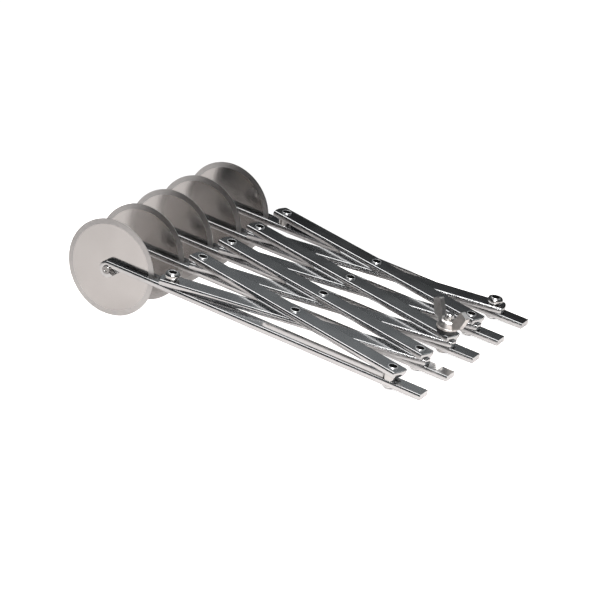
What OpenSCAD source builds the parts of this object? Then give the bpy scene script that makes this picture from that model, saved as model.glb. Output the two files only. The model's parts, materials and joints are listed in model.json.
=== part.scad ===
// Expanding pastry cutter: five cutting wheels on parallel arms, spread by a lazy-tongs linkage.
// Millimetres. The cutter rests on its wheels and on the tips of its arms, as it lies on a table.
// +X runs from the wheels to the arm tips, +Y from arm 1 to arm 5, and +Z is up.

/* [Cutting wheels] */
// Radius of a cutting wheel
wheel_r = 27.5; // [20:0.5:32]
// Thickness of a wheel's plate
wheel_t = 1.0; // [0.8:0.1:1.2]
// Width of the ground bevel round the rim
bevel_w = 3.0; // [2:0.5:6]
// Thickness left at the rim
edge_t = 0.3; // [0.2:0.1:0.6]

/* [Arms] */
// Distance between neighbouring arms as stored
arm_pitch = 30.6; // [14:0.2:110]
// Distance from the wheel axle to the tip of the arm
arm_len = 194.6; // [190:0.2:230]
// Width of an arm
arm_w = 9.4; // [9:0.1:10.4]
// Thickness of the flat bar that arms and links are cut from
bar_t = 3.3; // [2.8:0.1:3.6]
// How far the rolled sides of the bar bulge
bar_bulge = 0.45; // [0.3:0.05:0.6]
// Radius between a flat face of the bar and its bulging side
bar_edge_r = 0.5; // [0.3:0.05:0.7]
// Angle through which the nose of an arm is rolled round its axle
eye_sweep = 242; // [200:1:250]
// Width of the fork where the eye grips the wheel
fork_narrow = 1.6; // [1.4:0.1:2]
// Width of the fork behind the eye
fork_wide = 3.2; // [2.4:0.1:3.6]
// Distance from the axle to the step between the two fork widths
fork_step_x = 9; // [7:0.5:14]
// Space between the rim of the wheel and the end of the fork
fork_end_gap = 1.5; // [1:0.5:3]

/* [Linkage] */
// Distance between the end pivots of a link
link_len = 139.6; // [136:0.2:146]
// Width of a link
link_w = 10.8; // [10:0.1:11.4]
// Distance from an end pivot to the tip of the link
link_reach = 6.6; // [6.4:0.1:8]
// Radius of the curve that ends a link
link_end_r = 12; // [8:0.5:14]
// Distance from the wheel axle to the front pivot
front_pivot_x = 38.2; // [37:0.2:44]
// Widest distance between neighbouring arms that the guide slot allows
widest_pitch = 125; // [116:1:126]
// Closest distance between neighbouring arms
closest_pitch = 12; // [12:0.5:14]

/* [Rivets] */
// Radius of every rivet shank and of the clamp stud
shank_r = 2.4; // [2.3:0.05:2.5]
// Radius of the bore in a hollow rivet
bore_r = 1.95; // [1.6:0.05:2]
// Radius of the flared mouth of a hollow rivet
mouth_r = 2.2; // [2.1:0.05:2.25]
// Outer radius of a rolled rivet rim
rim_r = 2.75; // [2.7:0.05:3.2]
// Height of a rolled rivet rim
rim_h = 0.45; // [0.4:0.05:0.8]
// Radius of a slider head under an arm
head_r = 4.2; // [3.8:0.05:4.8]
// Height of a slider head
head_h = 1.7; // [1.4:0.1:2.2]
// Radius of a countersunk head
flush_r = 3.5; // [3.1:0.1:3.6]
// Radius of the heads on an axle
axle_head_r = 2.3; // [2.1:0.1:2.4]
// Height of the heads on an axle
axle_head_h = 0.8; // [0.75:0.05:1.2]
// Radius of the dimple in an axle head
dimple_r = 0.9; // [0.8:0.05:1.1]
// Radius of a spacer tube
spacer_r = 4.2; // [3.6:0.1:4.6]
// Largest radius of a barrel-shaped collar
collar_r = 4.3; // [3.8:0.05:4.6]

/* [Wing nut] */
// Radius of the hub at its base
hub_base_r = 6; // [5.6:0.1:6.4]
// Radius of the hub at its top
hub_top_r = 4.9; // [4.6:0.1:5.2]
// Height of the hub
hub_h = 5; // [4:0.2:7]
// Distance from the stud to the outside of a wing
wing_reach = 13.6; // [12:0.2:16]
// Height of the wing tips above the base of the hub
wing_h = 13.4; // [11:0.2:16]
// Thickness of a wing
wing_t = 3; // [2:0.1:3.4]
// Direction of the wings, measured from the arms
wing_turn = -23; // [-90:1:90]
// How far the stud stands above the hub
stud_rise = 3.2; // [1:0.2:5]
// Radius of the washer under the nut
washer_r = 5.6; // [4.6:0.1:6]
// Thickness of the washer under the nut
washer_t = 2.2; // [1:0.1:2.6]

/* [Fits] */
// Radial clearance of a turning joint
turn_fit = 0.05; // [0.03:0.01:0.08]
// Clearance on each side of a rivet in the guide slot
slide_fit = 0.08; // [0.05:0.01:0.1]
// Space between flat faces that slide on each other
face_gap = 0.1; // [0.05:0.01:0.15]

/* [Hidden] */
$fn = 64;
ARMS = 5;
MIDDLE = 3;
steel = [0.74, 0.74, 0.76];
bright_steel = [0.86, 0.86, 0.88];
dark_steel = [0.5, 0.5, 0.53];

// Radius of a wheel axle, which the eye is rolled to fit
axle_r = 1.45;
eye_in = axle_r + turn_fit;
arm_top = eye_in + bar_t;
arm_bottom = eye_in;
low_link_z = arm_top + face_gap;
high_link_z = low_link_z + bar_t + face_gap;
stack_top = high_link_z + bar_t;
layer = bar_t + face_gap;
link_angle = asin(arm_pitch / link_len);
rear_pivot_x = front_pivot_x + link_len * cos(link_angle);
slot_front_x = front_pivot_x + link_len * cos(asin(widest_pitch / link_len)) - 2;
slot_rear_x = front_pivot_x + link_len * cos(asin(closest_pitch / link_len)) + 0.5;
fork_end_x = wheel_r + fork_end_gap;
nut_z = stack_top + washer_t + face_gap;

// The side of the bar is an arc that bulges past its flat faces, joined to them by smaller arcs
side_r = (bar_t * bar_t / 4 + bar_bulge * bar_bulge) / (2 * bar_bulge);

// The stored cutter tilts until its arm tips touch the surface that its wheels stand on
tilt = asin(wheel_r / norm([arm_len, arm_bottom])) + atan2(arm_bottom, arm_len);
tip_x = arm_len * cos(tilt) + arm_top * sin(tilt);
centre_x = (tip_x - wheel_r) / 2;

function arm_y(i) = (i - MIDDLE) * arm_pitch;
function names(stem, numbers) = [for (i = numbers) str(stem, "_", i)];

// ---- Frame ----

// Moves a shape from the arms' own frame, with the wheel axles on its Y axis, to where it lies stored
module stored() {
    translate([-centre_x, 0, wheel_r]) rotate([0, tilt, 0]) children();
}

module at_front(i) { stored() translate([front_pivot_x, arm_y(i), 0]) children(); }

module at_rear(i) { stored() translate([rear_pivot_x, arm_y(i), 0]) children(); }

module at_middle(i) {
    stored() translate([(front_pivot_x + rear_pivot_x) / 2, arm_y(i + 0.5), 0]) children();
}

// ---- Shared shapes ----

// Cross-section of the rolled flat bar, centred
module bar_section(width) {
    side_x = width / 2 - side_r;
    edge_y = bar_t / 2 - bar_edge_r;
    edge_reach = sqrt(pow(side_r - bar_edge_r, 2) - pow(edge_y, 2));
    edge_x = side_x + edge_reach;
    side_h = 2 * edge_y * side_r / (side_r - bar_edge_r);
    square([2 * edge_x, bar_t], center = true);
    for (x = [-1, 1]) {
        for (y = [-1, 1]) {
            translate([x * edge_x, y * edge_y]) circle(bar_edge_r);
        }
        intersection() {
            translate([x * side_x, 0]) circle(side_r);
            square([width, side_h], center = true);
        }
    }
}

// Bar that runs along X from start to end with its underside at height z
module bar(width, start, end, z) {
    translate([start, 0, z + bar_t / 2]) rotate([90, 0, 90]) linear_extrude(end - start) bar_section(width);
}

// Half cross-section of a ring with its top corners rounded
module ring_section(inner, outer, height, edge) {
    translate([inner, 0]) square([outer - inner, height - edge]);
    translate([inner + edge, 0]) square([outer - inner - 2 * edge, height]);
    for (r = [inner + edge, outer - edge]) {
        translate([r, height - edge]) circle(edge);
    }
}

module ring(inner, outer, z, height, edge) {
    translate([0, 0, z]) rotate_extrude() ring_section(inner, outer, height, edge);
}

module rivet_hole() {
    translate([0, 0, -1]) cylinder(h = stack_top + 5, r = shank_r + turn_fit);
}

module flush_cone(z, extra) {
    translate([0, 0, z]) cylinder(h = flush_r - shank_r, r1 = flush_r + extra, r2 = shank_r + extra);
}

// Pan head that slides along the underside of an arm
module slider_head() {
    rim = 0.4;
    taper = 1.3;
    top = arm_bottom - face_gap;
    translate([0, 0, top - rim]) cylinder(h = rim, r = head_r);
    translate([0, 0, top - head_h]) cylinder(h = head_h - rim, r1 = head_r - taper, r2 = head_r);
}

// Shank of a hollow rivet from height foot to its rolled rim at height seat, bored down to height floor
module hollow_shank(foot, floor, seat) {
    flare = 0.6;
    difference() {
        union() {
            translate([0, 0, foot]) cylinder(h = seat + rim_h / 4 - foot, r = shank_r);
            ring(mouth_r, rim_r, seat, rim_h, 0.2);
        }
        translate([0, 0, floor]) cylinder(h = stack_top, r = bore_r);
        translate([0, 0, seat - flare]) cylinder(h = flare, r1 = bore_r, r2 = mouth_r);
        translate([0, 0, seat]) cylinder(h = rim_h, r = mouth_r);
    }
}

// Hollow rivet with a countersunk head at height foot
module flush_rivet(foot, seat) {
    flush_cone(foot, 0);
    hollow_shank(foot, foot + flush_r - shank_r, seat);
}

// Hollow rivet that slides along the slot of an arm
module slider_rivet(seat) {
    slider_head();
    hollow_shank(arm_bottom - face_gap - head_h / 2, arm_bottom, seat);
}

module spacer(z) { ring(shank_r + turn_fit, spacer_r, z, layer, 0.2); }

// Barrel-shaped collar that takes the place of a missing upper link
module collar(z) {
    barrel = 2.1;
    inner = shank_r + turn_fit;
    translate([0, 0, z]) rotate_extrude() intersection() {
        translate([inner, 0]) square([collar_r, layer]);
        translate([collar_r - barrel, 0.6 * layer]) circle(barrel);
    }
}

// ---- Arms and wheels ----

// Nose of an arm: the bar's end, rolled forward and down round the axle
module eye() {
    rotate([90, 0, 0]) rotate([0, 0, 90]) rotate_extrude(angle = eye_sweep)
        translate([eye_in + bar_t / 2, 0]) rotate([0, 0, 90]) bar_section(arm_w);
}

module fork_slot() {
    tall = 4 * arm_top;
    translate([-arm_len / 2 + fork_step_x, 0, 0]) cube([arm_len, fork_narrow, tall], center = true);
    translate([fork_step_x, -fork_wide / 2, -tall / 2]) cube([fork_end_x - fork_step_x, fork_wide, tall]);
}

module guide_slot() {
    half = shank_r + slide_fit;
    translate([slot_front_x, -half, 0]) cube([slot_rear_x - slot_front_x, 2 * half, 2 * arm_top]);
    for (x = [slot_front_x, slot_rear_x]) {
        translate([x, 0, 0]) cylinder(h = 2 * arm_top, r = half);
    }
}

module arm(i) {
    color(steel) stored() translate([0, arm_y(i), 0]) difference() {
        union() {
            bar(arm_w, 0, arm_len, arm_bottom);
            eye();
        }
        fork_slot();
        guide_slot();
        translate([front_pivot_x, 0, 0]) {
            rivet_hole();
            flush_cone(arm_bottom, turn_fit);
        }
    }
}

module wheel(i) {
    bevel_r = wheel_r - bevel_w;
    bore = axle_r + turn_fit;
    color(bright_steel) stored() translate([0, arm_y(i), 0]) rotate([90, 0, 0]) rotate_extrude($fn = 128)
        polygon([
            [bore, -wheel_t / 2], [bevel_r, -wheel_t / 2], [wheel_r, -edge_t / 2],
            [wheel_r, edge_t / 2], [bevel_r, wheel_t / 2], [bore, wheel_t / 2]
        ]);
}

// Axle with a rounded and dimpled head outside each prong of the fork
module wheel_axle(i) {
    rounding = min(axle_head_h / 2, 0.45 * (axle_head_r - dimple_r));
    color(bright_steel) stored() translate([0, arm_y(i), 0]) {
        rotate([90, 0, 0]) cylinder(h = arm_w + axle_head_h, r = axle_r, center = true);
        for (side = [-90, 90]) {
            rotate([side, 0, 0]) ring(dimple_r, axle_head_r, arm_w / 2, axle_head_h, rounding);
        }
    }
}

// ---- Linkage ----

// Link whose first pivot is at the origin and which runs along X; its underside is at height z
module link(z, foot_holes) {
    end_centre = link_reach - link_end_r;
    difference() {
        intersection() {
            bar(link_w, -link_reach, link_len + link_reach, z);
            union() {
                translate([-end_centre, -link_w / 2, z]) cube([link_len + 2 * end_centre, link_w, bar_t]);
                for (x = [-end_centre, link_len + end_centre]) {
                    translate([x, 0, z + bar_t / 2]) rotate_extrude() intersection() {
                        translate([0, -bar_t]) square([link_end_r, 2 * bar_t]);
                        bar_section(2 * link_end_r);
                    }
                }
            }
        }
        for (x = [0, link_len / 2, link_len]) {
            translate([x, 0, 0]) rivet_hole();
        }
        for (x = foot_holes) {
            translate([x, 0, 0]) flush_cone(z, turn_fit);
        }
    }
}

// Lower link: from the front of arm i to the rear of arm i + 1
module low_link(i) {
    color(steel) at_front(i) rotate([0, 0, link_angle]) link(low_link_z, [link_len / 2]);
}

// Upper link: from the front of arm i + 1 to the rear of arm i
module high_link(i) {
    color(steel) at_front(i + 1) rotate([0, 0, -link_angle]) link(high_link_z, []);
}

module front_rivet(i) { color(bright_steel) at_front(i) flush_rivet(arm_bottom, stack_top + face_gap); }

module middle_rivet(i) { color(bright_steel) at_middle(i) flush_rivet(low_link_z, stack_top + face_gap); }

module rear_rivet(i) { color(bright_steel) at_rear(i) slider_rivet(stack_top); }

// Arm 1 has no upper link at its front and no lower link at its rear; arm 5 is the other way round
module front_collar() { color(steel) at_front(1) collar(high_link_z); }

module rear_collar() { color(steel) at_rear(ARMS) collar(stack_top - layer); }

module front_spacer() { color(steel) at_front(ARMS) spacer(arm_top); }

module rear_spacer() { color(steel) at_rear(1) spacer(low_link_z); }

// ---- Clamp ----

module clamp_stud() {
    chamfer = 0.5;
    foot = arm_bottom - face_gap - head_h / 2;
    tip = nut_z + hub_h + stud_rise;
    color(steel) at_rear(MIDDLE) {
        slider_head();
        translate([0, 0, foot]) cylinder(h = tip - chamfer - foot, r = shank_r);
        translate([0, 0, tip - chamfer]) cylinder(h = chamfer, r1 = shank_r, r2 = shank_r - chamfer);
    }
}

module clamp_washer() {
    color(dark_steel) at_rear(MIDDLE) ring(shank_r + turn_fit, washer_r, stack_top, washer_t, 0.3);
}

// Half cross-section of the hub: a flange at its base, a chamfered top and a countersunk bore
module hub_section() {
    flange_h = 1;
    chamfer = 0.9;
    bore = shank_r + turn_fit;
    polygon([
        [bore, 0], [hub_base_r, 0], [hub_base_r, flange_h], [hub_base_r - 0.5, flange_h],
        [hub_top_r, hub_h - chamfer], [hub_top_r - chamfer, hub_h], [bore + 0.6, hub_h], [bore, hub_h - 0.6]
    ]);
}

// Outline of one wing: it leans outward from the hub and has rounded corners
module wing_outline() {
    corner = 0.8;
    root_foot = [hub_base_r - 1.5, 2 * corner];
    root_top = [hub_top_r - 0.5, hub_h - 1];
    inner_tip = [0.67 * wing_reach, wing_h - corner];
    outer_tip = [wing_reach - corner, 0.82 * wing_h];
    outer_foot = [0.72 * wing_reach, 0.32 * wing_h];
    hull($fn = 32) {
        for (place = [root_foot, root_top, inner_tip, outer_tip, outer_foot]) {
            translate(place) circle(corner);
        }
    }
}

module wing_nut() {
    color(bright_steel) at_rear(MIDDLE) translate([0, 0, nut_z]) rotate([0, 0, wing_turn]) {
        rotate_extrude() hub_section();
        for (side = [0, 180]) {
            rotate([90, 0, side]) translate([0, 0, -wing_t / 2]) linear_extrude(wing_t) wing_outline();
        }
    }
}

// ---- Nodes ----

module show(name) {
    children();
}

for (i = [1:ARMS]) {
    show(str("arm_", i)) arm(i);
    show(str("wheel_", i)) wheel(i);
    show(str("wheel_axle_", i)) wheel_axle(i);
    show(str("front_rivet_", i)) front_rivet(i);
}
for (i = [1:ARMS - 1]) {
    show(str("low_link_", i)) low_link(i);
    show(str("high_link_", i)) high_link(i);
    show(str("middle_rivet_", i)) middle_rivet(i);
}
for (i = [1, 2, 4, 5]) {
    show(str("rear_rivet_", i)) rear_rivet(i);
}
show("clamp_stud") clamp_stud();
show("clamp_washer") clamp_washer();
show("wing_nut") wing_nut();
show("front_collar") front_collar();
show("rear_collar") rear_collar();
show("front_spacer") front_spacer();
show("rear_spacer") rear_spacer();
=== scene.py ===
"""Looks of the expanding pastry cutter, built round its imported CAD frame.

Metres, Z up. +X runs from the cutting wheels to the tips of the arms, +Y from arm 1 to arm 5.
"""

import json
import math

import bpy
from mathutils import Matrix, Vector

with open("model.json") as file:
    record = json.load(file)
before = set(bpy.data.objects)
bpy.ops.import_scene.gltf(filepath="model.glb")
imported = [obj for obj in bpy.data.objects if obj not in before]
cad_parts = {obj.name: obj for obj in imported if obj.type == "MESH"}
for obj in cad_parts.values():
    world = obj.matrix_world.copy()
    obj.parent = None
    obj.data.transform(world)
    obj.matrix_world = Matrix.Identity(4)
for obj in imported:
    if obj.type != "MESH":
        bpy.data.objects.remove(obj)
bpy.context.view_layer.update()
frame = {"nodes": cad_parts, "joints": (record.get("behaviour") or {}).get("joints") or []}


# ---- Places and angles of the object, from its frame ----


JOINTS = {joint["name"]: joint for joint in frame["joints"]}
FRONT_PIVOT = Vector(JOINTS["spread"]["pos_m"])
MID_PIVOT = Vector(JOINTS["low_3_to_high_3"]["pos_m"])
REAR_PIVOT = Vector(JOINTS["wing_nut_turn"]["pos_m"])
AXLE = Vector(JOINTS["wheel_3_spin"]["pos_m"])
ARM_PITCH = Vector(JOINTS["wheel_4_spin"]["pos_m"]).y - AXLE.y

# The bars slope down from the axles by TILT, and the links cross the arms at LINK_ANGLE.
NORMAL = Vector(JOINTS["spread"]["axis"])
TILT = math.atan2(NORMAL.x, NORMAL.z)
LINK_RUN = MID_PIVOT - FRONT_PIVOT
LINK_RUN -= LINK_RUN.dot(NORMAL) * NORMAL
LINK_ANGLE = math.atan2(LINK_RUN.y, LINK_RUN.x / math.cos(TILT))

# The wheels stand on the floor, so the height of an axle is the radius of its wheel.
BEVEL_WIDTH = 0.003
BEVEL_RADIUS = AXLE.z - BEVEL_WIDTH
BEVEL_BLEND = 0.0001

# A hollow rivet is bright outside this distance from its middle, and painted near black inside it, as
# painted shade in its bore.
RIM_RADIUS = 0.00228
RIM_BLEND = 0.00004


# ---- Node helpers ----


class Nodes:
    """Fills the node tree of a material or a world, one call at a time."""

    def __init__(self, owner):
        owner.use_nodes = True
        self.tree = owner.node_tree

    def put(self, value, socket):
        """Links an output to a socket, or sets the socket to a number, a vector or a colour."""
        if isinstance(value, bpy.types.NodeSocket):
            self.tree.links.new(value, socket)
        elif socket.type == "RGBA":
            socket.default_value = (*value, 1)
        else:
            socket.default_value = value

    def add(self, kind, inputs=None, **settings):
        """Adds a node with these settings, and puts a value into each input that is named."""
        node = self.tree.nodes.new(kind)
        for key, value in settings.items():
            setattr(node, key, value)
        for name, value in (inputs or {}).items():
            self.put(value, node.inputs[name])
        return node

    def math(self, operation, first, second, clamp=False):
        node = self.add("ShaderNodeMath", operation=operation, use_clamp=clamp)
        self.put(first, node.inputs[0])
        self.put(second, node.inputs[1])
        return node.outputs["Value"]

    def seen_by_camera(self):
        """1 for what the camera sees straight away, and 0 for what the object reflects."""
        return self.add("ShaderNodeLightPath").outputs["Is Camera Ray"]


class Finish(Nodes):
    """A material with one Principled shader, a metal unless metallic says otherwise."""

    def __init__(self, name, colour, roughness, metallic=1.0):
        self.material = bpy.data.materials.new(name)
        super().__init__(self.material)
        self.shader = self.tree.nodes["Principled BSDF"].inputs
        self.put(colour, self.shader["Base Color"])
        self.put(metallic, self.shader["Metallic"])
        self.put(roughness, self.shader["Roughness"])
        self.place = self.add("ShaderNodeTexCoord").outputs["Object"]

    def along(self, angle, scale):
        """Object coordinates turned to run along a bar at this angle to the arms, then scaled."""
        turned = self.add(
            "ShaderNodeMapping",
            {"Vector": self.place, "Rotation": (0, -TILT, -angle)},
            vector_type="POINT",
        )
        scaled = self.add(
            "ShaderNodeMapping",
            {"Vector": turned.outputs["Vector"], "Scale": scale},
            vector_type="POINT",
        )
        return scaled.outputs["Vector"]

    def away_from(self, pivot):
        """Distance from the nearest pivot of a row that has one like this at every arm."""
        flat = self.add("ShaderNodeSeparateXYZ", {"Vector": self.along(0, (1, 1, 1))}).outputs
        centre = Matrix.Rotation(-TILT, 3, "Y") @ pivot
        ahead = self.math("SUBTRACT", flat["X"], centre.x)
        aside = self.math("PINGPONG", self.math("SUBTRACT", flat["Y"], centre.y), ARM_PITCH / 2)
        return self.length(ahead, aside)

    def length(self, first, second):
        squares = self.math("ADD", self.math("POWER", first, 2), self.math("POWER", second, 2))
        return self.math("POWER", squares, 0.5)

    def noise(self, vector, scale=1.0, detail=3.0, rough=0.5):
        """Smooth noise from 0 to 1, most of it between 0.3 and 0.7."""
        inputs = {"Vector": vector, "Scale": scale, "Detail": detail, "Roughness": rough}
        return self.add("ShaderNodeTexNoise", inputs).outputs["Fac"]

    def span(self, value, low, high, to_low, to_high):
        """Maps a value from one range to another, held at both ends."""
        inputs = {"Value": value, "From Min": low, "From Max": high, "To Min": to_low, "To Max": to_high}
        return self.add("ShaderNodeMapRange", inputs, clamp=True).outputs["Result"]

    def vary(self, noise, low, high):
        """A number that wanders from low to high with the noise."""
        return self.span(noise, 0.3, 0.7, low, high)

    def beyond(self, value, edge, blend):
        """0 below the edge and 1 above it, with a short blend on both sides of it."""
        return self.span(value, edge - blend, edge + blend, 0, 1)

    def mix(self, factor, first, second):
        """The first colour where the factor is 0, the second where it is 1."""
        inputs = {"Factor": factor, "A": first, "B": second}
        return self.add("ShaderNodeMix", inputs, data_type="RGBA").outputs["Result"]

    def tint(self, noise, dark, light):
        """A colour that wanders from dark to light with the noise."""
        return self.mix(self.vary(noise, 0, 1), dark, light)

    def bump(self, height, distance, strength, under=None):
        """Raises the surface by height times distance, on top of the bump under it."""
        inputs = {"Height": height, "Distance": distance, "Strength": strength}
        if under is not None:
            inputs["Normal"] = under
        return self.add("ShaderNodeBump", inputs).outputs["Normal"]

    def made_of(self, colour, roughness, normal):
        """Puts the finished parts into the shader and gives the material."""
        self.put(colour, self.shader["Base Color"])
        self.put(roughness, self.shader["Roughness"])
        self.put(normal, self.shader["Normal"])
        return self.material


# ---- Materials of the object ----


def bar_steel(name, angle):
    """Polished flat bar, its faint rolling lines running along a bar at this angle to the arms."""
    steel = Finish(name, (0.54, 0.54, 0.545), 0.16)
    lines = steel.noise(steel.along(angle, (60, 3600, 3600)), detail=2)
    waves = steel.noise(steel.along(angle, (18, 120, 120)), detail=2)
    cloud = steel.noise(steel.place, 60, 3)
    colour = steel.tint(cloud, (0.51, 0.51, 0.515), (0.57, 0.57, 0.57))
    dulled = steel.span(cloud, 0.4, 0.7, 0, 0.04)
    roughness = steel.math("ADD", steel.vary(lines, 0.13, 0.17), dulled)
    uneven = steel.bump(waves, 0.00005, 0.5)
    return steel.made_of(colour, roughness, steel.bump(lines, 0.000002, 0.4, uneven))


def wheel_steel():
    """Polished plate with turning marks round its axle, and a duller ground bevel at its rim."""
    steel = Finish("wheel_steel", (0.56, 0.54, 0.53), 0.15)
    flat = steel.add("ShaderNodeSeparateXYZ", {"Vector": steel.place}).outputs
    across = steel.math("SUBTRACT", flat["X"], AXLE.x)
    above = steel.math("SUBTRACT", flat["Z"], AXLE.z)
    radius = steel.length(across, above)
    rings = steel.add("ShaderNodeCombineXYZ", {"X": radius}).outputs["Vector"]
    marks = steel.noise(rings, 2600, 4, 0.7)
    cloud = steel.noise(steel.place, 55, 2)
    on_bevel = steel.beyond(radius, BEVEL_RADIUS, BEVEL_BLEND)
    face = steel.tint(cloud, (0.5, 0.485, 0.475), (0.54, 0.525, 0.515))
    colour = steel.mix(on_bevel, face, (0.5, 0.49, 0.485))
    polish = steel.math("ADD", steel.vary(marks, 0.1, 0.17), steel.span(cloud, 0.35, 0.7, 0, 0.05))
    roughness = steel.math("ADD", polish, steel.math("MULTIPLY", on_bevel, 0.2))
    round_axle = steel.add("ShaderNodeTangent", direction_type="RADIAL", axis="Y").outputs["Tangent"]
    steel.put(0.6, steel.shader["Anisotropic"])
    steel.put(round_axle, steel.shader["Tangent"])
    return steel.made_of(colour, roughness, steel.bump(marks, 0.000003, 0.5))


def formed_steel(name, dark, light, smoothest, roughest, pit):
    """Formed or cast steel, with a fine irregular surface whose smallest hollows are pit deep."""
    steel = Finish(name, light, smoothest)
    cloud = steel.noise(steel.place, 420, 4)
    fine = steel.noise(steel.place, 2600, 3)
    colour = steel.tint(cloud, dark, light)
    roughness = steel.vary(fine, smoothest, roughest)
    uneven = steel.bump(cloud, pit * 4, 0.5)
    return steel.made_of(colour, roughness, steel.bump(fine, pit, 0.6, uneven))


def rivet_steel(name, pivot):
    """Bright hollow rivet whose bore is painted near black, as painted shade, and dull."""
    steel = Finish(name, (0.8, 0.8, 0.8), 0.3)
    fine = steel.noise(steel.place, 1500, 2)
    on_rim = steel.beyond(steel.away_from(pivot), RIM_RADIUS, RIM_BLEND)
    bright = steel.tint(fine, (0.78, 0.78, 0.785), (0.86, 0.86, 0.86))
    # The bore is painted near black: painted shade for the hollow of the rivet, not a colour of the
    # steel.
    colour = steel.mix(on_rim, (0.012, 0.012, 0.012), bright)
    dulled = steel.math("MULTIPLY", steel.math("SUBTRACT", 1, on_rim), 0.5)
    roughness = steel.math("ADD", steel.vary(fine, 0.24, 0.34), dulled)
    return steel.made_of(colour, roughness, steel.bump(fine, 0.000003, 0.4))


# A node takes the first entry that its name starts with, so wheel_axle comes before wheel.
STEELS = {
    # The axle steel is a darker copy of the fitting steel: painted shade on the axle heads.
    "wheel_axle": formed_steel(
        "axle_steel_painted_shade", (0.27, 0.265, 0.26), (0.33, 0.325, 0.32), 0.12, 0.2, 0.000001
    ),
    "wheel": wheel_steel(),
    "arm": bar_steel("arm_steel", 0),
    "low_link": bar_steel("low_link_steel", LINK_ANGLE),
    "high_link": bar_steel("high_link_steel", -LINK_ANGLE),
    "wing_nut": formed_steel(
        "nut_steel", (0.56, 0.535, 0.515), (0.66, 0.635, 0.615), 0.27, 0.33, 0.000001
    ),
    # The washer is painted near black: painted shade for the shadowed gap under the wing nut.
    "clamp_washer": formed_steel(
        "washer_steel", (0.05, 0.05, 0.052), (0.09, 0.09, 0.092), 0.3, 0.4, 0.000008
    ),
    "front_rivet": rivet_steel("front_rivet_steel", FRONT_PIVOT),
    "middle_rivet": rivet_steel("middle_rivet_steel", MID_PIVOT),
    "rear_rivet": rivet_steel("rear_rivet_steel", REAR_PIVOT),
}
FITTING_STEEL = formed_steel(
    "fitting_steel", (0.5, 0.49, 0.48), (0.58, 0.57, 0.56), 0.12, 0.2, 0.000001
)


def steel_for(name):
    """The steel of the node with this name; collars, spacers and the stud take the fitting steel."""
    for start, steel in STEELS.items():
        if name.startswith(start):
            return steel
    return FITTING_STEEL


def dress(name, piece):
    piece.data.materials.clear()
    piece.data.materials.append(steel_for(name))


def soften_edges(piece, width):
    """Rounds the sharp edges of a piece a little, so that they catch the light."""
    piece.modifiers.new("weld", "WELD").merge_threshold = 0.000001
    bevel = piece.modifiers.new("soft edges", "BEVEL")
    bevel.width = width
    bevel.segments = 2
    bevel.limit_method = "ANGLE"
    bevel.angle_limit = math.radians(35)


# ---- Floor, studio, lights and camera ----


def plane(name, place, size, material, rotation=(0, 0, 0)):
    """A flat sheet of the stage, with its middle at this place."""
    bpy.ops.mesh.primitive_plane_add(size=1, location=place, rotation=rotation)
    sheet = bpy.context.object
    sheet.name = name
    sheet.scale = (*size, 1)
    sheet.data.materials.append(material)
    return sheet


def floor_paint(glow):
    """Pale paint that glows for the camera alone, so that the shadows on it stay faint."""
    paint = Finish("floor_paint", (0.6, 0.57, 0.555), 0.8, metallic=0.0)
    paint.put(0.1, paint.shader["Specular IOR Level"])
    paint.put((1, 1, 1), paint.shader["Emission Color"])
    paint.put(paint.math("MULTIPLY", paint.seen_by_camera(), glow), paint.shader["Emission Strength"])
    return paint.material


def floor(size, back):
    """A square floor whose far edge, at y = back, is just behind the object."""
    plane("floor", (0, back - size / 2, 0), (size, size), floor_paint(0.92))


def panel_glow(slope, base):
    """Light whose strength, from 0 to 1, is base plus the dot product of slope and the place."""
    material = bpy.data.materials.new("panel_glow")
    glow = Nodes(material)
    glow.tree.nodes.clear()
    place = glow.add("ShaderNodeNewGeometry").outputs["Position"]
    rise = glow.add("ShaderNodeVectorMath", operation="DOT_PRODUCT")
    glow.put(place, rise.inputs[0])
    glow.put(slope, rise.inputs[1])
    strength = glow.math("ADD", rise.outputs["Value"], base, clamp=True)
    shine = glow.add("ShaderNodeEmission", {"Color": (0.92, 0.97, 1), "Strength": strength})
    glow.add("ShaderNodeOutputMaterial", {"Surface": shine.outputs["Emission"]})
    return material


def panel(place, size):
    """A graded studio wall behind the object, brighter towards its top and its right.

    The object reflects it, and the camera doesn't see it.
    """
    glow = panel_glow(slope=(0.58, 0, 2.64), base=-0.6)
    wall = plane("panel", place, size, glow, rotation=(math.pi / 2, 0, 0))
    wall.visible_camera = False


def softbox(name, place, size, watts):
    """A level rectangle of light that shines straight down."""
    lamp = bpy.data.lights.new(name, "AREA")
    lamp.shape = "RECTANGLE"
    lamp.size, lamp.size_y = size
    lamp.energy = watts
    holder = bpy.data.objects.new(name, lamp)
    bpy.context.collection.objects.link(holder)
    holder.location = place


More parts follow.
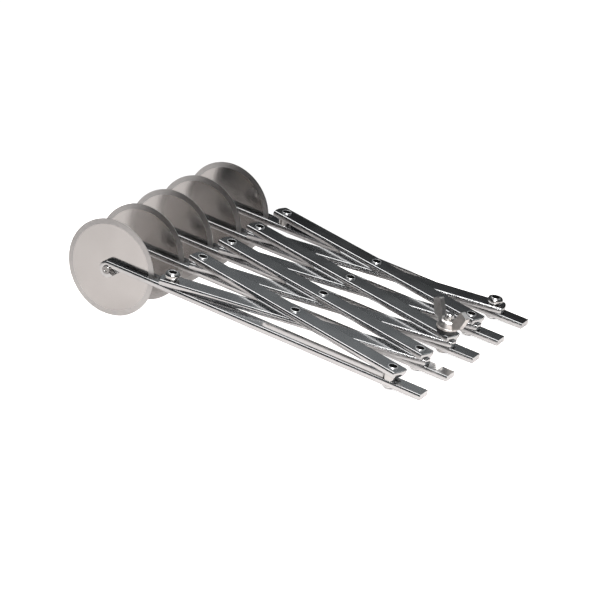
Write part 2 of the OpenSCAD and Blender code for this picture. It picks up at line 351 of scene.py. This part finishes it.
def surroundings(colour, strength, backdrop):
    """A dim studio round the object, in front of a white backdrop that only the camera sees."""
    world = bpy.data.worlds.new("studio")
    sky = Nodes(world)
    dim = sky.tree.nodes["Background"]
    sky.put(colour, dim.inputs["Color"])
    sky.put(strength, dim.inputs["Strength"])
    white = sky.add("ShaderNodeBackground", {"Color": (1, 1, 1), "Strength": backdrop})
    choice = sky.add("ShaderNodeMixShader")
    for value, socket in zip((sky.seen_by_camera(), dim.outputs[0], white.outputs[0]), choice.inputs):
        sky.put(value, socket)
    sky.put(choice.outputs["Shader"], sky.tree.nodes["World Output"].inputs["Surface"])
    bpy.context.scene.world = world


def camera(target, distance, azimuth, elevation, roll, lens):
    """Looks at target; azimuth is from -Y towards +X, and roll turns the camera about its own axis."""
    lens_data = bpy.data.cameras.new("camera")
    lens_data.lens = lens
    lens_data.sensor_width = 36
    lens_data.clip_start = 0.01
    viewer = bpy.data.objects.new("camera", lens_data)
    bpy.context.collection.objects.link(viewer)
    away = Vector((
        math.sin(azimuth) * math.cos(elevation),
        -math.cos(azimuth) * math.cos(elevation),
        math.sin(elevation),
    ))
    facing = (-away).to_track_quat("-Z", "Y").to_matrix().to_4x4()
    place = Matrix.Translation(Vector(target) + away * distance)
    viewer.matrix_world = place @ facing @ Matrix.Rotation(roll, 4, "Z")
    bpy.context.scene.camera = viewer


# ---- The scene ----


for node_name, node_object in frame["nodes"].items():
    dress(node_name, node_object)
soften_edges(frame["nodes"]["wing_nut"], width=0.00025)

floor(size=3, back=0.1)
panel(place=(0, 0.5, 0.35), size=(1.4, 0.7))
softbox("side", place=(0.42, -0.6, 0.6), size=(0.4, 0.9), watts=22)
softbox("overhead", place=(-0.19, 0.02, 0.6), size=(0.62, 0.56), watts=3.4)
surroundings(colour=(0.8, 0.9, 1), strength=0.06, backdrop=1.05)
camera(
    target=(0.0102, -0.0159, 0.0163),
    distance=1.4348,
    azimuth=math.radians(28.455),
    elevation=math.radians(21.215),
    roll=math.radians(3.219),
    lens=158.73,
)
bpy.context.scene.view_settings.view_transform = "Standard"
